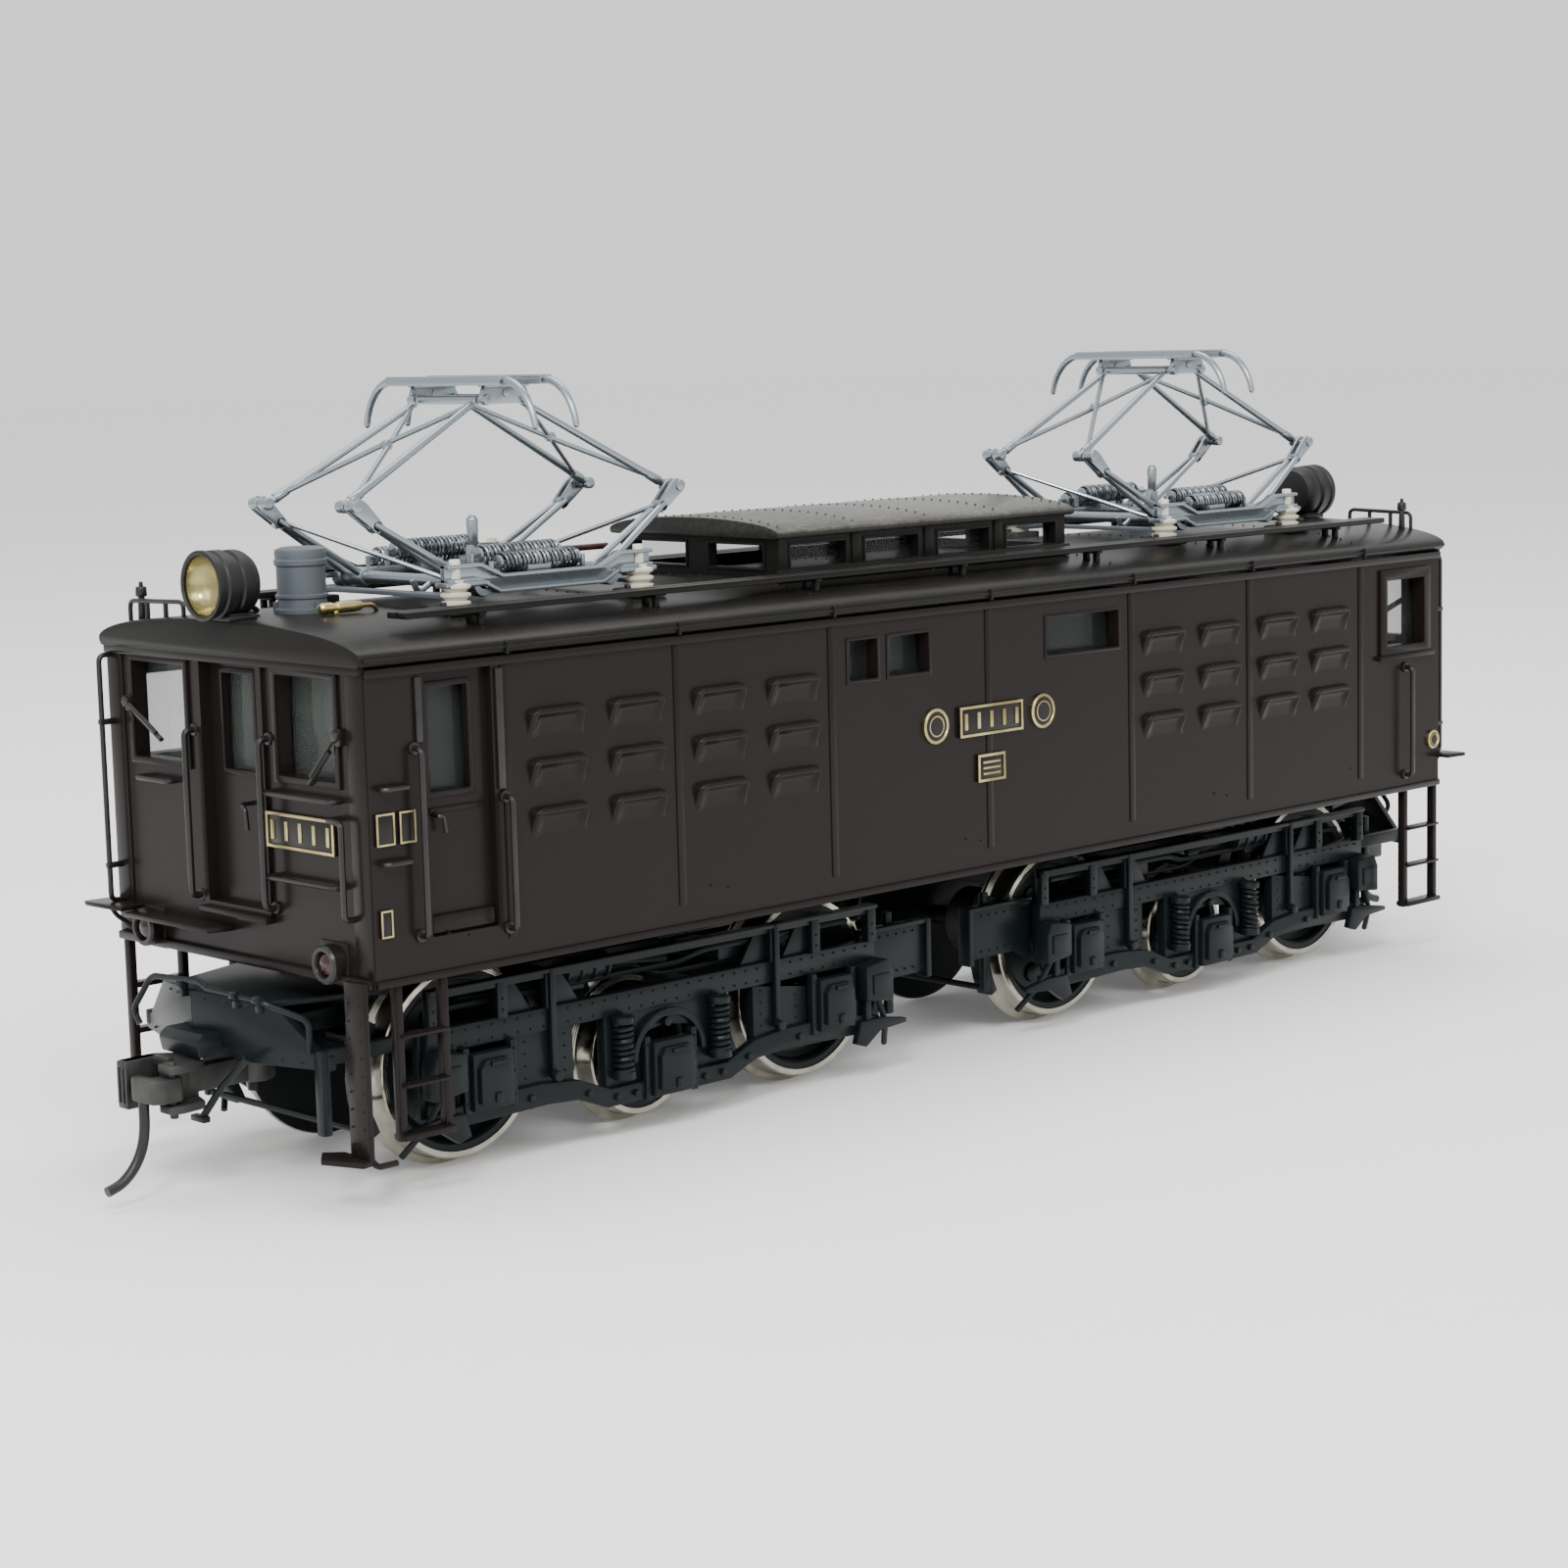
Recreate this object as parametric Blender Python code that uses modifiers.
"""Scale model of a box-bodied electric locomotive on two three-axle bogies."""
import math

import bmesh
import bpy
from mathutils import Matrix, Vector

MM = 0.001

# Body, millimetres. +X runs along the rails, +Y to the left side, Z = 0 on the wheel flanges.
HALF_LENGTH = 67.4
HALF_WIDTH = 17.2
WALL = 1.2
BODY_BOTTOM = 17.3
WALL_TOP = 41.2
ROOF_EAVE = 41.5
ROOF_SHOULDER = 42.0
ROOF_RISE = 2.2
ROOF_OVERHANG = 0.6
FIT_GAP = 0.3
FLOOR_BOTTOM = 17.9
FLOOR_TOP = 19.1
WINDOW_LOW = 35.75
WINDOW_HIGH = 39.1
LOUVRE_ROWS = (28.0, 31.8, 35.6)
LOUVRE_COLUMNS = (-49.2, -41.0, -32.1, -23.8, 23.8, 32.1, 41.0, 49.2)
LOUVRE_SIZE = (5.8, 0.5, 2.5)
SIDE_WINDOWS = ((-17.2, -13.8), (-12.4, -7.5), (7.7, 17.5))
DOOR_RECESS = 0.6
SIDE_DOOR_X = (-61.9, -55.5)
SIDE_DOOR_Z = (20.5, 40.6)
SIDE_DOOR_WINDOW = ((-61.2, -57.4), (31.4, 39.3))
CAB_WINDOW = ((58.4, 64.6), (32.2, 38.8))
END_DOOR = ((-3.8, 3.8), (21.9, 40.9))
END_DOOR_WINDOW = ((-2.0, 2.0), (32.4, 39.9))
WINDSCREEN_Y = (6.2, 13.5)
WINDSCREEN_Z = (32.6, 40.3)
TOWER_OPENING = (9.2, 6.4)
GLASS = 0.6

# Roof fittings.
MONITOR_LENGTH = 18.3
MONITOR_WIDTH = 10.2
MONITOR_TOP = 47.9
MONITOR_WINDOWS = (-13.6, -4.6, 4.6, 13.6)
MONITOR_END_WINDOWS = (-4.9, 4.9)
MONITOR_WINDOW_Z = (45.1, 46.9)
WALK_Y = (-14.9, -12.5)
WALK_Z = (44.3, 44.9)
WALK_LENGTH = 61.5
WALK_FEET = 9
WALK_FOOT_X = 58.0
HEADLIGHT_X = (-68.6, -65.2)
HEADLIGHT_Z = 46.9
HEADLIGHT_RADIUS = 2.65
ARRESTER_X = -60.3
WHISTLE_X = (-60.6, -56.2)
WHISTLE_Y = -4.2
WHISTLE_Z = 45.2

# Running gear.
BOGIE_X = 35.3
AXLE_PITCH = 18.9
TREAD_RADIUS = 7.8
IDLER_RADIUS = 5.4
FLANGE = 0.8
WHEEL_BACK = 7.2
WHEEL_FACE = 10.0
JOURNAL_RADIUS = 0.65
JOURNAL_END = 12.6
FRAME_INNER = 12.0
FRAME_OUTER = 13.2
DRIVE_Z = 26.0
MOTOR_RADIUS = 6.5
ROTOR_END = 16.4
WORM_CUP_END = 9.0
SHAFT_RADIUS = 0.6
RUNNING_GAP = 0.08
COUPLER_PIVOT_X = -31.6
COUPLER_Z = 9.0
KNUCKLE_X = -40.4
KNUCKLE_Y = -2.0
KNUCKLE_PIN = 0.35
PILOT_X = (-37.3, -36.3)
PEDESTAL_OPENING_X = 10.4
SOCKET_RADIUS = 1.3
SOCKET_DEPTH = 1.4
WORM_RADIUS = 2.0

# Pantograph linkage, measured from its own centre line.
PANTO_X = 43.0
PANTO_SHAFT_X = 6.6
PANTO_SHAFT_Z = 46.0
LOWER_ARM = 12.0
LOWER_ANGLE = math.radians(32.7)
HEAD_PIVOT_X = 2.0
UPPER_ARM = LOWER_ARM + PANTO_SHAFT_X - HEAD_PIVOT_X
KNEE_X = PANTO_SHAFT_X + LOWER_ARM * math.cos(LOWER_ANGLE)
KNEE_Z = PANTO_SHAFT_Z + LOWER_ARM * math.sin(LOWER_ANGLE)
KNEE_Y = 6.4
HEAD_Z = KNEE_Z + math.sqrt(UPPER_ARM ** 2 - (KNEE_X - HEAD_PIVOT_X) ** 2)
HEAD_Y = 4.6
RAIL_Y = 9.5
PIN_RADIUS = 0.3
HEAD_PIN = 0.22
STRIP_HALF = 7.4
HORN_Y = 10.85
HORN_DROP = 3.3
STRIP_TOP = 62.1
STRIP_DEPTH = 0.75
INSULATOR_X = 9.5
INSULATOR_RADIUS = 1.25

for old in list(bpy.data.objects):
    bpy.data.objects.remove(old, do_unlink=True)

scene_root = bpy.context.scene.collection
parts = bpy.data.collections.new("model_electric_locomotive")
cutters = bpy.data.collections.new("cutters")
scene_root.children.link(parts)
scene_root.children.link(cutters)


# ---------------------------------------------------------------- materials
FINISHES = {
    "body_paint": ((0.045, 0.036, 0.032), 0.45, 0.0),
    "roof_paint": ((0.040, 0.039, 0.038), 0.50, 0.0),
    "frame_paint": ((0.022, 0.030, 0.033), 0.50, 0.0),
    "wheel_nickel": ((0.55, 0.53, 0.50), 0.25, 1.0),
    "motor_steel": ((0.45, 0.46, 0.48), 0.35, 1.0),
    "brass": ((0.72, 0.50, 0.20), 0.30, 1.0),
    "panto_silver": ((0.40, 0.43, 0.46), 0.35, 1.0),
    "arrester_grey": ((0.16, 0.18, 0.21), 0.45, 0.0),
    "clear_glass": ((0.60, 0.66, 0.64), 0.05, 0.0),
    "lens_glass": ((0.85, 0.80, 0.62), 0.05, 0.0),
    "coupler_grey": ((0.10, 0.105, 0.11), 0.45, 0.0),
    "gear_plastic": ((0.10, 0.10, 0.11), 0.50, 0.0),
}


def make_material(name, finish):
    """Give each sub-part its own Principled material in its finish."""
    colour, roughness, metallic = FINISHES[finish]
    material = bpy.data.materials.new(name)
    material.use_nodes = True
    shader = material.node_tree.nodes["Principled BSDF"]
    shader.inputs["Base Color"].default_value = (*colour, 1.0)
    shader.inputs["Roughness"].default_value = roughness
    shader.inputs["Metallic"].default_value = metallic
    return material


# ---------------------------------------------------------------- shapes
def link_shape(name, mesh):
    """Put a mesh in the scene as an object, ready to be a part or a cutter."""
    shape = bpy.data.objects.new(name, mesh)
    parts.objects.link(shape)
    return shape


def box(x, y, z):
    """A box from its low and high faces along each axis, in millimetres."""
    mesh = bpy.data.meshes.new("box")
    block = bmesh.new()
    bmesh.ops.create_cube(block, size=MM)
    size = (x[1] - x[0], y[1] - y[0], z[1] - z[0])
    bmesh.ops.scale(block, verts=block.verts, vec=size)
    block.to_mesh(mesh)
    block.free()
    shape = link_shape("box", mesh)
    middle = ((x[0] + x[1]) / 2, (y[0] + y[1]) / 2, (z[0] + z[1]) / 2)
    shape.location = Vector(middle) * MM
    return shape


def rod(start, end, radius, sides=8):
    """A round bar between two points."""
    start = Vector(start) * MM
    end = Vector(end) * MM
    along = end - start
    mesh = bpy.data.meshes.new("rod")
    bar = bmesh.new()
    bmesh.ops.create_cone(bar, cap_ends=True, segments=sides, radius1=radius * MM,
                          radius2=radius * MM, depth=along.length)
    bar.to_mesh(mesh)
    bar.free()
    shape = link_shape("rod", mesh)
    shape.location = (start + end) / 2
    shape.rotation_euler = along.to_track_quat("Z", "Y").to_euler()
    return shape


def outline_plate(points, across, low, high):
    """A flat outline given the thickness between low and high along the named axis."""
    curve = bpy.data.curves.new("outline", "CURVE")
    curve.dimensions = "2D"
    curve.fill_mode = "BOTH"
    curve.extrude = (high - low) / 2 * MM
    spline = curve.splines.new("POLY")
    spline.points.add(len(points) - 1)
    for point, (u, v) in zip(spline.points, points):
        point.co = (u * MM, v * MM, 0, 1)
    spline.use_cyclic_u = True
    flat = bpy.data.objects.new("outline", curve)
    middle = (low + high) / 2 * MM
    if across == "X":
        flat.rotation_euler = (math.pi / 2, 0, math.pi / 2)
        flat.location = (middle, 0, 0)
    else:
        flat.rotation_euler = (math.pi / 2, 0, 0)
        flat.location = (0, middle, 0)
    return mesh_from_curve(flat)


def wire(points, radius):
    """A bent round wire through the points."""
    curve = bpy.data.curves.new("wire", "CURVE")
    curve.dimensions = "3D"
    curve.bevel_depth = radius * MM
    curve.bevel_resolution = 2
    curve.use_fill_caps = True
    spline = curve.splines.new("POLY")
    spline.points.add(len(points) - 1)
    for point, place in zip(spline.points, points):
        point.co = (*(Vector(place) * MM), 1)
    return mesh_from_curve(bpy.data.objects.new("wire", curve))


def mesh_from_curve(curve_object):
    """Turn a curve into a closed mesh in the same place."""
    parts.objects.link(curve_object)
    bpy.context.view_layer.update()
    graph = bpy.context.evaluated_depsgraph_get()
    mesh = bpy.data.meshes.new_from_object(curve_object.evaluated_get(graph))
    shell = bmesh.new()
    shell.from_mesh(mesh)
    bmesh.ops.remove_doubles(shell, verts=shell.verts, dist=0.002 * MM)
    bmesh.ops.recalc_face_normals(shell, faces=shell.faces)
    shell.to_mesh(mesh)
    shell.free()
    shape = link_shape(curve_object.name, mesh)
    shape.matrix_world = curve_object.matrix_world
    bpy.data.objects.remove(curve_object)
    return shape


def turned(profile, steps):
    """A shape turned about +Z from a half profile of (radius, height), top to bottom."""
    mesh = bpy.data.meshes.new("profile")
    line = [(radius * MM, 0, height * MM) for radius, height in profile]
    mesh.from_pydata(line, [(i, i + 1) for i in range(len(line) - 1)], [])
    shape = link_shape("turned", mesh)
    screw = shape.modifiers.new("turn", "SCREW")
    screw.steps = steps
    screw.render_steps = steps
    screw.use_merge_vertices = True
    screw.merge_threshold = 0.00001
    return shape


# ---------------------------------------------------------------- sub-parts
def set_pivot(shape, pivot):
    """Move a part's origin to its joint axis without moving its faces."""
    target = Vector(pivot) * MM
    turn = shape.rotation_euler.to_matrix().to_4x4()
    offset = Matrix.Translation(shape.location - target) @ turn
    shape.data.transform(offset)
    shape.rotation_euler = (0, 0, 0)
    shape.location = target


def use_as_tool(shape, group, parent):
    """Keep a shape as a wire guide in its own group of cutters."""
    parts.objects.unlink(shape)
    group.objects.link(shape)
    shape.parent = parent
    shape.hide_render = True
    shape.display_type = "WIRE"


def combine(part, tools, operation, parent):
    """Join tools to a part, or cut them out of it."""
    if not tools:
        return
    group = bpy.data.collections.new(part.name + "_" + operation.lower())
    cutters.children.link(group)
    for tool in tools:
        use_as_tool(tool, group, parent)
    boolean = part.modifiers.new(operation.lower(), "BOOLEAN")
    boolean.operation = operation
    boolean.operand_type = "COLLECTION"
    boolean.collection = group
    boolean.solver = "EXACT"


def sub_part(name, finish, pieces, cuts=(), parent=None, pivot=None):
    """One named sub-part: the first piece, with the others joined and the cuts taken out."""
    part = pieces[0]
    part.name = name
    part.data.name = name
    part.data.materials.append(make_material(name, finish))
    if pivot is not None:
        set_pivot(part, pivot)
    part.parent = parent
    combine(part, pieces[1:], "UNION", parent)
    combine(part, cuts, "DIFFERENCE", parent)
    return part


def make_empty(name, x, turn, height=0.0):
    """A frame that carries one end's sub-parts; the rear one is turned half way round."""
    empty = bpy.data.objects.new(name, None)
    empty.location = (x * MM, 0, height * MM)
    empty.rotation_euler = (0, 0, turn)
    parts.objects.link(empty)
    return empty


def arch(half_width, low, shoulder, rise, count=10):
    """Outline of a slab with an arched top, from its right foot round to its left foot."""
    points = [(half_width, low)]
    for step in range(count + 1):
        angle = math.pi * step / count
        points.append((half_width * math.cos(angle), shoulder + rise * math.sin(angle)))
    points.append((-half_width, low))
    return points


# ---------------------------------------------------------------- body shell
def make_side(side, parent):
    """One side wall: windows, cab door recess, cab window and pressed louvres."""
    outer = -HALF_WIDTH
    inner = outer + WALL
    wall = box((-HALF_LENGTH, HALF_LENGTH), (outer, inner), (BODY_BOTTOM, WALL_TOP))
    louvres = []
    width, depth, height = LOUVRE_SIZE
    for column in LOUVRE_COLUMNS:
        for low in LOUVRE_ROWS:
            louvres.append(box((column - width / 2, column + width / 2),
                               (outer - depth, outer + 0.3), (low, low + height)))
    through = (outer - 1, inner + 1)
    cuts = [box(x, through, (WINDOW_LOW, WINDOW_HIGH)) for x in SIDE_WINDOWS]
    cuts.append(box(SIDE_DOOR_X, (outer - 1, outer + DOOR_RECESS), SIDE_DOOR_Z))
    for x, z in (SIDE_DOOR_WINDOW, CAB_WINDOW):
        cuts.append(box(x, through, z))
    return sub_part("body_side_" + side, "body_paint", [wall] + louvres, cuts, parent)


def make_end(end, parent):
    """One end wall: two windscreens and a recessed centre door with its own window."""
    outer = -HALF_LENGTH
    inner = outer + WALL
    half = HALF_WIDTH - WALL - FIT_GAP
    wall = box((outer, inner), (-half, half), (BODY_BOTTOM, WALL_TOP))
    through = (outer - 1, inner + 1)
    cuts = [box((outer - 1, outer + DOOR_RECESS), *END_DOOR), box(through, *END_DOOR_WINDOW)]
    for sign in (-1, 1):
        cuts.append(box(through, sorted(y * sign for y in WINDSCREEN_Y), WINDSCREEN_Z))
    return sub_part("body_end_" + end, "body_paint", [wall], cuts, parent)


def make_roof():
    """The arched roof slab with its rounded cornice."""
    outline = arch(HALF_WIDTH + 0.4, ROOF_EAVE, ROOF_SHOULDER, ROOF_RISE, 14)
    half = HALF_LENGTH + ROOF_OVERHANG
    return sub_part("roof_panel", "roof_paint", [outline_plate(outline, "X", -half, half)])


def make_floor():
    """The floor that carries the motor, with an opening over each bogie's gear tower."""
    half_length = HALF_LENGTH - WALL - FIT_GAP
    half_width = HALF_WIDTH - WALL - FIT_GAP
    plate = box((-half_length, half_length), (-half_width, half_width),
                (FLOOR_BOTTOM, FLOOR_TOP))
    cuts = []
    long, wide = TOWER_OPENING
    for x in (-BOGIE_X, BOGIE_X):
        cuts.append(box((x - long, x + long), (-wide, wide), (FLOOR_BOTTOM - 1, FLOOR_TOP + 1)))
    return sub_part("chassis_floor", "frame_paint", [plate], cuts)


def make_side_glass(side, parent):
    """Clear strip behind a side wall's windows."""
    outer = -HALF_WIDTH + WALL + FIT_GAP
    pane = box((-64.9, 65.2), (outer, outer + GLASS), (31.0, 40.4))
    return sub_part("side_glazing_" + side, "clear_glass", [pane], (), parent)


def make_end_glass(end, parent):
    """Clear strip behind an end wall's windows."""
    outer = -HALF_LENGTH + WALL + FIT_GAP
    pane = box((outer, outer + GLASS), (-14.4, 14.4), (31.4, 40.6))
    return sub_part("end_glazing_" + end, "clear_glass", [pane], (), parent)


def make_ladder(name, x, with_end_step, parent):
    """A two-rung access ladder below the sill, one with a stepped post at the end wall."""
    face = -HALF_WIDTH + 0.1
    low = 5.3
    top = BODY_BOTTOM - FIT_GAP
    posts = [box((at - 0.35, at + 0.35), (face, face + 0.9), (low, top)) for at in x]
    rungs = []
    for height in (5.9, 9.6, 13.3):
        rungs.append(box((x[0], x[1]), (face + 0.1, face + 0.8), (height - 0.3, height + 0.3)))
    head = box((x[0] - 0.3, x[1] + 0.3), (face + 0.1, face + 0.8), (top - 0.9, top - 0.1))
    pieces = posts + rungs + [head]
    if with_end_step:
        strip = box((-69.0, -68.3), (face, face + 3.0), (4.3, top - 0.1))
        foot = box((-70.6, -68.0), (face + 0.4, face + 4.6), (4.1, 4.7))
        tie = box((-68.8, x[0]), (face + 0.1, face + 0.8), (top - 0.9, top - 0.15))
        pieces += [strip, foot, tie]
    return sub_part(name, "body_paint", pieces, (), parent)


def make_body():
    """Everything that is fixed to the body shell, in left/right and front/rear pairs."""
    straight = make_empty("front_shell_frame", 0, 0)
    turned_round = make_empty("rear_shell_frame", 0, math.pi)
    for side, end, parent in (("right", "front", straight), ("left", "rear", turned_round)):
        make_side(side, parent)
        make_end(end, parent)
        make_side_glass(side, parent)
        make_end_glass(end, parent)
        make_ladder("cab_ladder_" + end, (-65.2, -60.9), True, parent)
        make_ladder("corner_ladder_" + side, (62.0, 67.0), False, parent)
        make_roof_walk(side, parent)
        make_headlight(end, parent)
    make_roof()
    make_floor()
    make_monitor()
    make_arrester()
    make_whistle()


# ---------------------------------------------------------------- roof fittings
def roof_height(y):
    """Height of the roof's top surface at a distance from the centre line."""
    half = HALF_WIDTH + 0.4
    return ROOF_SHOULDER + ROOF_RISE * math.sqrt(1 - (y / half) ** 2)


def make_roof_walk(side, parent):
    """A long walkway plank on short brackets."""
    plank = box((-WALK_LENGTH, WALK_LENGTH), WALK_Y, WALK_Z)
    feet = []
    low = roof_height(13.0) + 0.25
    for step in range(WALK_FEET):
        x = WALK_FOOT_X * (2 * step / (WALK_FEET - 1) - 1)
        feet.append(box((x - 0.5, x + 0.5), (-14.0, -13.0), (low, WALK_Z[0] + 0.2)))
    return sub_part("roof_walk_" + side, "roof_paint", [plank] + feet, (), parent)


def make_monitor():
    """The hollow roof monitor with windows along its sides and in its ends."""
    long, wide = MONITOR_LENGTH, MONITOR_WIDTH
    low = roof_height(0) + FIT_GAP
    walls = box((-long, long), (-wide, wide), (low, MONITOR_TOP))
    cover = outline_plate(arch(wide + 0.7, MONITOR_TOP - 0.3, MONITOR_TOP + 0.1, 1.3, 8), "X",
                          -long - 0.7, long + 0.7)
    hollow = box((1 - long, long - 1), (1 - wide, wide - 1), (low - 1, MONITOR_TOP - 0.7))
    cuts = [hollow]
    for sign in (-1, 1):
        through_side = sorted(((wide - 1.7) * sign, (wide + 1.3) * sign))
        through_end = sorted(((long - 1.8) * sign, (long + 1.2) * sign))
        for x in MONITOR_WINDOWS:
            cuts.append(box((x - 3.3, x + 3.3), through_side, MONITOR_WINDOW_Z))
        for y in MONITOR_END_WINDOWS:
            cuts.append(box(through_end, (y - 3.5, y + 3.5), MONITOR_WINDOW_Z))
    return sub_part("roof_monitor", "roof_paint", [walls, cover], cuts)


def make_headlight(end, parent):
    """A drum headlight on a foot, and its lens."""
    face, back = HEADLIGHT_X
    height = HEADLIGHT_Z
    shell = rod((face, 0, height), (back, 0, height), HEADLIGHT_RADIUS, 16)
    foot = box((face + 0.8, back - 0.8), (-1.6, 1.6), (roof_height(0) + FIT_GAP, height - 1.2))
    bowl = rod((face - 0.6, 0, height), (face + 1.1, 0, height), HEADLIGHT_RADIUS - 0.45, 16)
    sub_part("headlight_" + end, "roof_paint", [shell, foot], [bowl], parent)
    glass = rod((face - 0.3, 0, height), (face + 0.3, 0, height), HEADLIGHT_RADIUS - 0.75, 16)
    return sub_part("headlight_lens_" + end, "lens_glass", [glass], (), parent)


def make_arrester():
    """The upright lightning arrester with its two bands."""
    low = roof_height(0) + FIT_GAP
    profile = [(0, 49.3), (1.9, 49.3), (1.9, 48.7), (2.08, 48.6), (2.08, 48.1), (1.9, 48.0),
               (1.9, 45.6), (2.08, 45.5), (2.08, 45.1), (1.9, 45.0), (1.9, low), (0, low)]
    body = turned(profile, 12)
    body.location = (ARRESTER_X * MM, 0, 0)
    return sub_part("lightning_arrester", "arrester_grey", [body])


def make_whistle():
    """The brass air whistle lying on the roof on a small foot."""
    start, finish = WHISTLE_X
    tube = rod((start, WHISTLE_Y, WHISTLE_Z), (finish, WHISTLE_Y, WHISTLE_Z), 0.6, 12)
    foot = box((start + 1.2, start + 2.0), (WHISTLE_Y - 0.3, WHISTLE_Y + 0.3),
               (roof_height(WHISTLE_Y) + FIT_GAP, WHISTLE_Z))
    return sub_part("air_whistle", "brass", [tube, foot])


# ---------------------------------------------------------------- drive
def make_drive():
    """Motor on the floor, its rotor with two flywheels, and the drive shafts pushed on it."""
    case = rod((-9.0, 0, DRIVE_Z), (9.0, 0, DRIVE_Z), MOTOR_RADIUS, 16)
    cradle = box((-8.0, 8.0), (-4.5, 4.5), (FLOOR_TOP + FIT_GAP, DRIVE_Z - 3.0))
    bore = rod((-10.0, 0, DRIVE_Z), (10.0, 0, DRIVE_Z), MOTOR_RADIUS - 0.9, 16)
    sub_part("motor_case", "motor_steel", [case, cradle], [bore])
    half = [(0, ROTOR_END), (SHAFT_RADIUS, ROTOR_END), (SHAFT_RADIUS, 14.6), (5.0, 14.6),
            (5.0, 9.8), (SHAFT_RADIUS, 9.8), (SHAFT_RADIUS, 8.0), (5.2, 8.0)]
    mirrored = [(radius, -height) for radius, height in reversed(half)]
    rotor = turned(half + mirrored, 12)
    rotor.rotation_euler = (0, math.pi / 2, 0)
    rotor.location = Vector((0, 0, DRIVE_Z)) * MM
    sub_part("motor_rotor", "motor_steel", [rotor])
    inner = ROTOR_END - SOCKET_DEPTH
    bore = SHAFT_RADIUS + RUNNING_GAP
    outer = BOGIE_X - WORM_CUP_END - 0.9
    profile = [(0, outer), (1.1, outer), (1.1, outer - 0.8), (0.8, outer - 1.2),
               (0.8, ROTOR_END + 1.4), (SOCKET_RADIUS, ROTOR_END + 1.0),
               (SOCKET_RADIUS, inner), (bore, inner), (bore, ROTOR_END + FIT_GAP),
               (0, ROTOR_END + FIT_GAP)]
    for end, turn in (("front", -1), ("rear", 1)):
        shaft = turned(profile, 12)
        shaft.rotation_euler = (0, math.pi / 2 * turn, 0)
        shaft.location = (0, 0, DRIVE_Z * MM)
        sub_part("drive_shaft_" + end, "gear_plastic", [shaft])


# ---------------------------------------------------------------- bogies
def wheel_profile(radius, gear):
    """Half profile of a wheelset, from its upper journal end to its middle."""
    flange = radius + FLANGE
    profile = [(0, JOURNAL_END), (JOURNAL_RADIUS, JOURNAL_END), (JOURNAL_RADIUS, 10.3),
               (2.2, 10.3), (2.2, 9.3), (radius - 1.1, 9.3), (radius - 1.0, WHEEL_FACE),
               (radius, WHEEL_FACE), (radius, 8.0), (flange, 7.9), (flange, WHEEL_BACK),
               (1.0, WHEEL_BACK)]
    if gear:
        profile += [(1.0, 1.3), (3.2, 1.3)]
    return profile


def make_wheelset(name, x, radius, steps, gear, parent):
    """Two wheels on an axle, with a worm wheel in the middle of a driven one."""
    half = wheel_profile(radius, gear)
    mirrored = [(r, -height) for r, height in reversed(half)]
    axle = turned(half + mirrored, steps)
    axle.rotation_euler = (math.pi / 2, 0, 0)
    axle.location = Vector((x, 0, radius + FLANGE)) * MM
    return sub_part(name, "wheel_nickel", [axle], (), parent)


def make_bogie_frame(end, parent):
    """Centre beam over the axles, cross arms, and the gear tower that holds the worm."""
    beam = box((-21.0, 21.0), (-5.6, 5.6), (12.7, 14.2))
    tower = box((-7.4, 7.4), (-4.2, 4.2), (13.5, DRIVE_Z - 2.6))
    pieces = [tower]
    for x in (-6.4, 6.4):
        pieces.append(box((x - 0.6, x + 0.6), (-2.0, 2.0), (DRIVE_Z - 3.0, DRIVE_Z + 1.3)))
    for x in (-8.8, 8.8):
        pieces.append(box((x - 1.4, x + 1.4), (-FRAME_INNER + FIT_GAP, FRAME_INNER - FIT_GAP),
                          (12.9, 14.0)))
    hole = rod((-8.0, 0, DRIVE_Z), (8.0, 0, DRIVE_Z), SHAFT_RADIUS + RUNNING_GAP, 16)
    return sub_part("bogie_frame_" + end, "frame_paint", [beam] + pieces, [hole], parent,
                    (0, 0, 13.0))


def make_side_frame(name, sign, parent):
    """Outside frame: riveted plate, pedestals, axleboxes and the inner end plate."""
    def span(near, far):
        return sorted((near * sign, far * sign))

    outline = [(-24.5, 6.5), (-23.0, 4.4), (-13.0, 4.4), (-10.0, 5.6), (-7.0, 3.2), (7.0, 3.2),
               (10.0, 5.6), (13.0, 4.4), (23.0, 4.4), (24.5, 6.5), (24.5, 15.6), (-24.5, 15.6)]
    low, high = span(FRAME_INNER, FRAME_OUTER)
    plate = outline_plate(outline, "Y", low, high)
    pieces = []
    axle_z = TREAD_RADIUS + FLANGE
    axles = ((-AXLE_PITCH, axle_z, 2.1), (0, IDLER_RADIUS + FLANGE, 2.3),
             (AXLE_PITCH, axle_z, 2.1))
    for x, z, half in axles:
        pieces.append(box((x - half, x + half), span(FRAME_OUTER - 0.2, FRAME_OUTER + 1.5),
                          (z - 2.4, z + 2.2)))
    joint_block = box((23.0, 24.4), span(10.9, FRAME_OUTER - 0.1), (7.0, 15.0))
    end_plate = box((23.2, 32.8), span(10.7, 11.7), (6.6, 15.2))
    pieces += [joint_block, end_plate]
    cuts = []
    for x in (-PEDESTAL_OPENING_X, PEDESTAL_OPENING_X):
        cuts.append(box((x - 2.6, x + 2.6), span(FRAME_INNER - 1, FRAME_OUTER + 1),
                        (6.6, 11.6)))
    for x, z, _ in axles:
        cuts.append(rod((x, (FRAME_INNER - 1) * sign, z), (x, (JOURNAL_END + 0.3) * sign, z),
                        JOURNAL_RADIUS + RUNNING_GAP, 12))
    return sub_part(name, "frame_paint", [plate] + pieces, cuts, parent)


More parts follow.
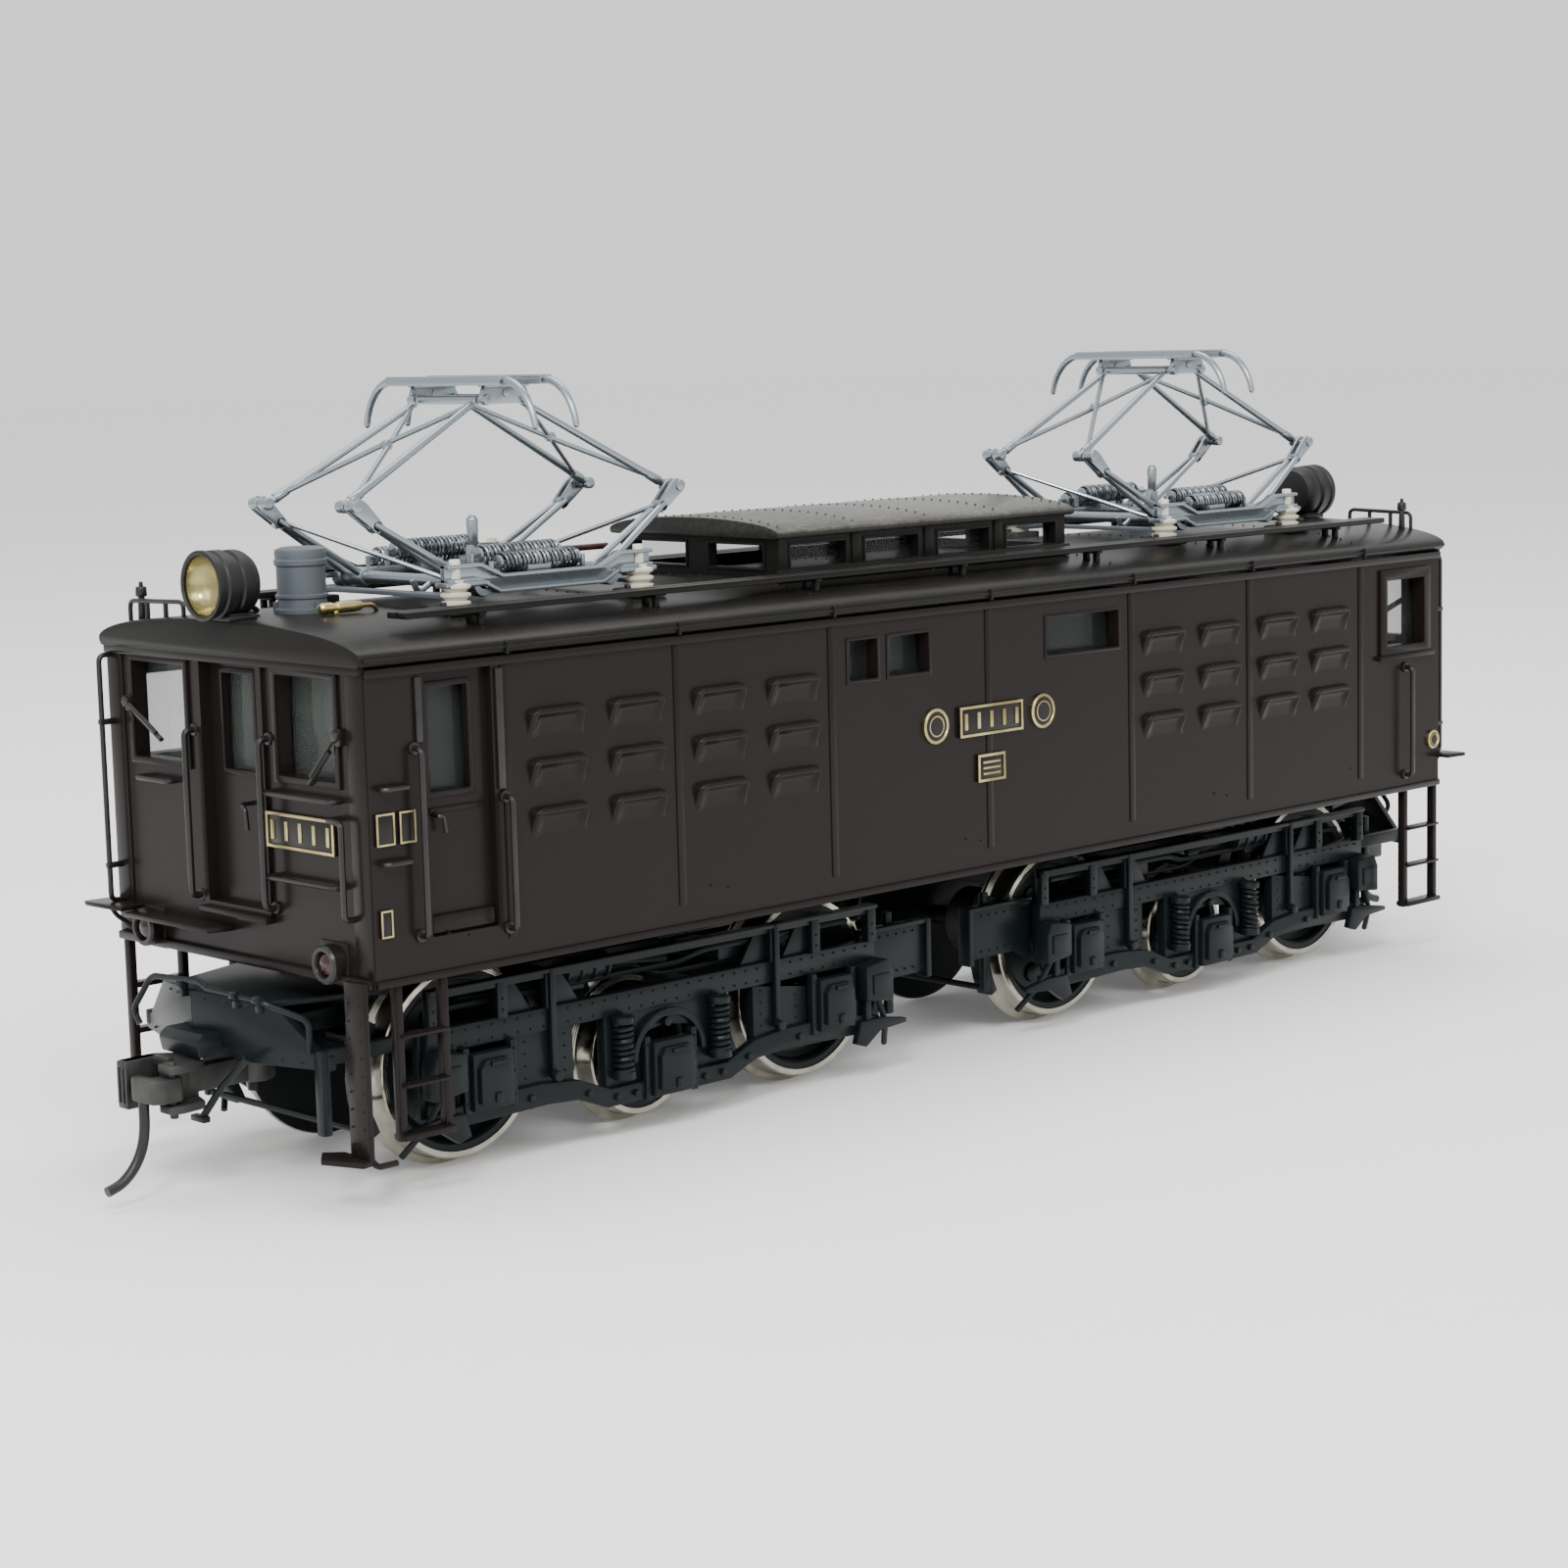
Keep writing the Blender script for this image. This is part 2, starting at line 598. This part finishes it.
def make_worm(end, parent):
    """The worm on its shaft, with the drive cup towards the motor."""
    profile = [(0, WORM_CUP_END), (WORM_RADIUS, WORM_CUP_END), (WORM_RADIUS, 7.4),
               (SHAFT_RADIUS, 7.4), (SHAFT_RADIUS, 5.2), (WORM_RADIUS, 5.2),
               (WORM_RADIUS, -5.2), (SHAFT_RADIUS, -5.2), (SHAFT_RADIUS, -7.6), (0, -7.6)]
    worm = turned(profile, 10)
    worm.rotation_euler = (0, math.pi / 2, 0)
    worm.location = Vector((0, 0, DRIVE_Z)) * MM
    return sub_part("worm_shaft_" + end, "brass", [worm], (), parent)


def make_pilot(end, parent):
    """End beam of the bogie: front plate, coupler pocket and the beam behind it."""
    plate_outline = [(-10.8, 15.6), (-14.6, 12.6), (-14.6, 11.9), (-9.0, 11.1), (9.0, 11.1),
                     (14.6, 11.9), (14.6, 12.6), (10.8, 15.6)]
    plate = outline_plate(plate_outline, "X", *PILOT_X)
    pocket = box((-40.4, -30.4), (-3.2, 3.2), (11.3, 15.0))
    beam = box((-30.6, -21.4), (-4.6, 4.6), (11.9, 13.6))
    boss = rod((COUPLER_PIVOT_X, 0, 11.5), (COUPLER_PIVOT_X, 0, COUPLER_Z - 2.0), 0.6, 14)
    return sub_part("pilot_" + end, "frame_paint", [plate, pocket, beam, boss], (), parent)


def make_coupler(end, parent):
    """Coupler shank and head, turning on the pocket's pin, with its knuckle and trip pin."""
    eye = rod((COUPLER_PIVOT_X, 0, COUPLER_Z - 1.0), (COUPLER_PIVOT_X, 0, COUPLER_Z + 1.2),
              1.7, 16)
    shank = box((-38.2, COUPLER_PIVOT_X), (-1.1, 1.1), (COUPLER_Z - 1.0, COUPLER_Z + 1.2))
    head = box((-40.0, -37.4), (-1.2, 2.9), (COUPLER_Z - 1.9, COUPLER_Z + 1.9))
    guard = box((-42.3, -39.4), (1.5, 2.9), (COUPLER_Z - 1.9, COUPLER_Z + 1.9))
    ear_low = box((-41.2, -37.8), (-2.9, -0.9), (COUPLER_Z - 1.9, COUPLER_Z - 1.2))
    ear_high = box((-41.2, -37.8), (-2.9, -0.9), (COUPLER_Z + 1.2, COUPLER_Z + 1.9))
    bore = rod((COUPLER_PIVOT_X, 0, COUPLER_Z - 3), (COUPLER_PIVOT_X, 0, COUPLER_Z + 3),
               0.6 + RUNNING_GAP, 14)
    pin_bore = rod((KNUCKLE_X, KNUCKLE_Y, COUPLER_Z - 3), (KNUCKLE_X, KNUCKLE_Y, COUPLER_Z + 3),
                   KNUCKLE_PIN + RUNNING_GAP, 12)
    sub_part("coupler_" + end, "coupler_grey",
             [eye, shank, head, guard, ear_low, ear_high], [bore, pin_bore], parent,
             (COUPLER_PIVOT_X, 0, COUPLER_Z))
    hub = rod((KNUCKLE_X, KNUCKLE_Y, COUPLER_Z - 0.9), (KNUCKLE_X, KNUCKLE_Y, COUPLER_Z + 0.9),
              0.8, 12)
    jaw = box((-42.6, KNUCKLE_X), (KNUCKLE_Y - 0.7, KNUCKLE_Y + 0.7),
              (COUPLER_Z - 0.9, COUPLER_Z + 0.9))
    tip = box((-42.6, -41.5), (KNUCKLE_Y - 0.7, 0.9), (COUPLER_Z - 0.9, COUPLER_Z + 0.9))
    pin = rod((KNUCKLE_X, KNUCKLE_Y, COUPLER_Z - 2.4), (KNUCKLE_X, KNUCKLE_Y, COUPLER_Z + 1.8),
              KNUCKLE_PIN, 12)
    bends = []
    for step in range(5):
        angle = math.radians(90) * step / 4
        bends.append((-42.0 - 3.6 * math.sin(angle), -0.3, 5.0 - 3.4 * (1 - math.cos(angle))))
    trip = wire([(-42.0, -0.3, COUPLER_Z - 0.5), (-42.0, -0.3, 6.0)] + bends[1:], 0.45)
    return sub_part("coupler_knuckle_" + end, "coupler_grey", [hub, jaw, tip, pin, trip], (),
                    parent, (KNUCKLE_X, KNUCKLE_Y, COUPLER_Z))


def make_bogies():
    """Two bogies, the rear one turned half way round."""
    for end, x, turn, near, far in (("front", -BOGIE_X, 0, "right", "left"),
                                    ("rear", BOGIE_X, math.pi, "left", "right")):
        bogie = make_empty("bogie_pivot_" + end, x, turn)
        make_bogie_frame(end, bogie)
        make_side_frame("side_frame_" + end + "_" + near, -1, bogie)
        make_side_frame("side_frame_" + end + "_" + far, 1, bogie)
        make_wheelset("wheelset_" + end + "_outer", -AXLE_PITCH, TREAD_RADIUS, 16, True, bogie)
        make_wheelset("wheelset_" + end + "_middle", 0, IDLER_RADIUS, 12, False, bogie)
        make_wheelset("wheelset_" + end + "_inner", AXLE_PITCH, TREAD_RADIUS, 16, True, bogie)
        make_worm(end, bogie)
        make_pilot(end, bogie)
        make_coupler(end, bogie)


# ---------------------------------------------------------------- pantographs
def make_panto_base(end, parent):
    """Two cranked rails on four insulators, tied by cross beams."""
    pieces = []
    low = roof_height(RAIL_Y) + FIT_GAP
    cuts = []
    for sign in (-1, 1):
        outline = [(-10.6, 46.3), (-7.6, 46.3), (-5.4, 45.2), (5.4, 45.2), (7.6, 46.3),
                   (10.6, 46.3), (10.6, 47.7), (7.2, 47.7), (5.0, 46.7), (-5.0, 46.7),
                   (-7.2, 47.7), (-10.6, 47.7)]
        edges = sorted((9.0 * sign, 10.0 * sign))
        pieces.append(outline_plate(outline, "Y", *edges))
        for x in (-INSULATOR_X, INSULATOR_X):
            pieces.append(rod((x, RAIL_Y * sign, low + 0.5), (x, RAIL_Y * sign, 46.6),
                              INSULATOR_RADIUS))
            pieces.append(box((x - 1.6, x + 1.6), sorted(((RAIL_Y - 1.6) * sign,
                                                          (RAIL_Y + 1.6) * sign)),
                              (low, low + 0.9)))
        for x in (-PANTO_SHAFT_X, PANTO_SHAFT_X):
            cuts.append(rod((x, 8.0 * sign, PANTO_SHAFT_Z), (x, 11.0 * sign, PANTO_SHAFT_Z),
                            PIN_RADIUS + RUNNING_GAP))
    for x in (-9.4, 9.4):
        pieces.append(box((x - 0.7, x + 0.7), (-9.3, 9.3), (44.8, 45.4)))
    pieces.append(box((-1.4, 1.4), (-9.3, 9.3), (45.4, 46.5)))
    pieces.append(box((-0.7, 0.5), (-0.8, 0.8), (46.0, 50.6)))
    return sub_part("panto_base_" + end, "panto_silver", pieces, cuts, parent)


def make_lower_arm(name, side, parent):
    """Lower frame: cross shaft with its journals, two arms with forked knees, a brace."""
    shaft_x = PANTO_SHAFT_X * side
    knee_x = KNEE_X * side
    tube = rod((shaft_x, -8.6, PANTO_SHAFT_Z), (shaft_x, 8.6, PANTO_SHAFT_Z), 0.55)
    pin = rod((shaft_x, -9.8, PANTO_SHAFT_Z), (shaft_x, 9.8, PANTO_SHAFT_Z), PIN_RADIUS, 6)
    pieces = [tube, pin]
    cuts = []
    for sign in (-1, 1):
        pieces.append(rod((shaft_x, KNEE_Y * sign, PANTO_SHAFT_Z),
                          (knee_x, KNEE_Y * sign, KNEE_Z), 0.45, 6))
        pieces.append(rod((knee_x, (KNEE_Y - 0.5) * sign, KNEE_Z),
                          (knee_x, (KNEE_Y + 0.6) * sign, KNEE_Z), 0.9))
        cuts.append(rod((knee_x, (KNEE_Y - 2) * sign, KNEE_Z),
                        (knee_x, (KNEE_Y + 2) * sign, KNEE_Z), PIN_RADIUS + RUNNING_GAP))
    rise = (KNEE_Z - PANTO_SHAFT_Z) / (KNEE_X - PANTO_SHAFT_X)
    near = (shaft_x + 0.1 * side, -KNEE_Y, PANTO_SHAFT_Z)
    reach = 8.2
    far = (shaft_x + reach * side, KNEE_Y, PANTO_SHAFT_Z + reach * rise)
    pieces.append(rod(near, far, 0.28, 6))
    return sub_part(name, "panto_silver", pieces, cuts, parent, (shaft_x, 0, PANTO_SHAFT_Z))


def make_upper_arm(name, side, parent):
    """Upper frame: two tapering arms on knee pins, crossed braces and the head tube."""
    knee_x = KNEE_X * side
    head_x = HEAD_PIVOT_X * side
    foot_y = KNEE_Y - 1.5
    top_y = HEAD_Y - 1.0
    pieces = [rod((head_x, 0.7 - HEAD_Y, HEAD_Z), (head_x, HEAD_Y - 0.7, HEAD_Z), 0.4),
              rod((head_x, -HEAD_Y - 0.5, HEAD_Z), (head_x, HEAD_Y + 0.5, HEAD_Z),
                  HEAD_PIN, 6)]
    for sign in (-1, 1):
        pieces.append(rod((knee_x, (foot_y - 0.3) * sign, KNEE_Z),
                          (knee_x, (KNEE_Y - 0.8) * sign, KNEE_Z), 0.6))
        pieces.append(rod((knee_x, foot_y * sign, KNEE_Z),
                          (knee_x, (KNEE_Y + 0.6) * sign, KNEE_Z), PIN_RADIUS, 6))
        pieces.append(rod((knee_x, foot_y * sign, KNEE_Z), (head_x, top_y * sign, HEAD_Z),
                          0.36, 6))
        pieces.append(rod((knee_x, foot_y * sign, KNEE_Z), (head_x, -top_y * sign, HEAD_Z),
                          0.26, 6))
    return sub_part(name, "panto_silver", pieces, (), parent, (knee_x, 0, KNEE_Z))


def strip_outline():
    """A collector strip seen along the rails: flat middle, horns curving down."""
    count = 4
    sweep = math.radians(80)
    reach = (HORN_Y - STRIP_HALF) / math.sin(sweep)
    fall = HORN_DROP / (1 - math.cos(sweep))
    upper = []
    lower = []
    for step in range(count + 1):
        angle = sweep * step / count
        y = STRIP_HALF + reach * math.sin(angle)
        z = STRIP_TOP - fall * (1 - math.cos(angle))
        upper.append((y, z))
        lower.append((y - STRIP_DEPTH * math.sin(angle), z - STRIP_DEPTH * math.cos(angle)))
    left_upper = [(-y, z) for y, z in reversed(upper)]
    left_lower = [(-y, z) for y, z in lower]
    return left_upper + upper + lower[::-1] + left_lower


def make_head(end, parent):
    """Two collector strips on a pair of pivot plates."""
    pieces = []
    for x in (-HEAD_PIVOT_X - 0.1, HEAD_PIVOT_X + 0.1):
        pieces.append(outline_plate(strip_outline(), "X", x - 0.6, x + 0.6))
    cuts = []
    for sign in (-1, 1):
        edges = sorted(((HEAD_Y - 0.4) * sign, (HEAD_Y + 0.4) * sign))
        pieces.append(box((-3.0, 3.0), edges, (HEAD_Z - 0.9, STRIP_TOP - 0.4)))
        for x, clearance in ((-HEAD_PIVOT_X, RUNNING_GAP), (HEAD_PIVOT_X, 0.3)):
            cuts.append(rod((x, (HEAD_Y - 2) * sign, HEAD_Z), (x, (HEAD_Y + 2) * sign, HEAD_Z),
                            HEAD_PIN + clearance))
    return sub_part("panto_head_" + end, "panto_silver", pieces, cuts, parent,
                    (-HEAD_PIVOT_X, 0, HEAD_Z))


def make_pantographs():
    """Two diamond pantographs, the rear one turned half way round."""
    for end, x, turn in (("front", -PANTO_X, 0), ("rear", PANTO_X, math.pi)):
        frame = make_empty("panto_frame_" + end, x, turn)
        make_panto_base(end, frame)
        for letter, side in (("a", -1), ("b", 1)):
            make_lower_arm("panto_lower_" + letter + "_" + end, side, frame)
            make_upper_arm("panto_upper_" + letter + "_" + end, side, frame)
        make_head(end, frame)


make_body()
make_drive()
make_bogies()
make_pantographs()

for part in parts.objects:
    if part.type == "MESH":
        part.data.shade_smooth()
        part.data.set_sharp_from_angle(angle=math.radians(35))
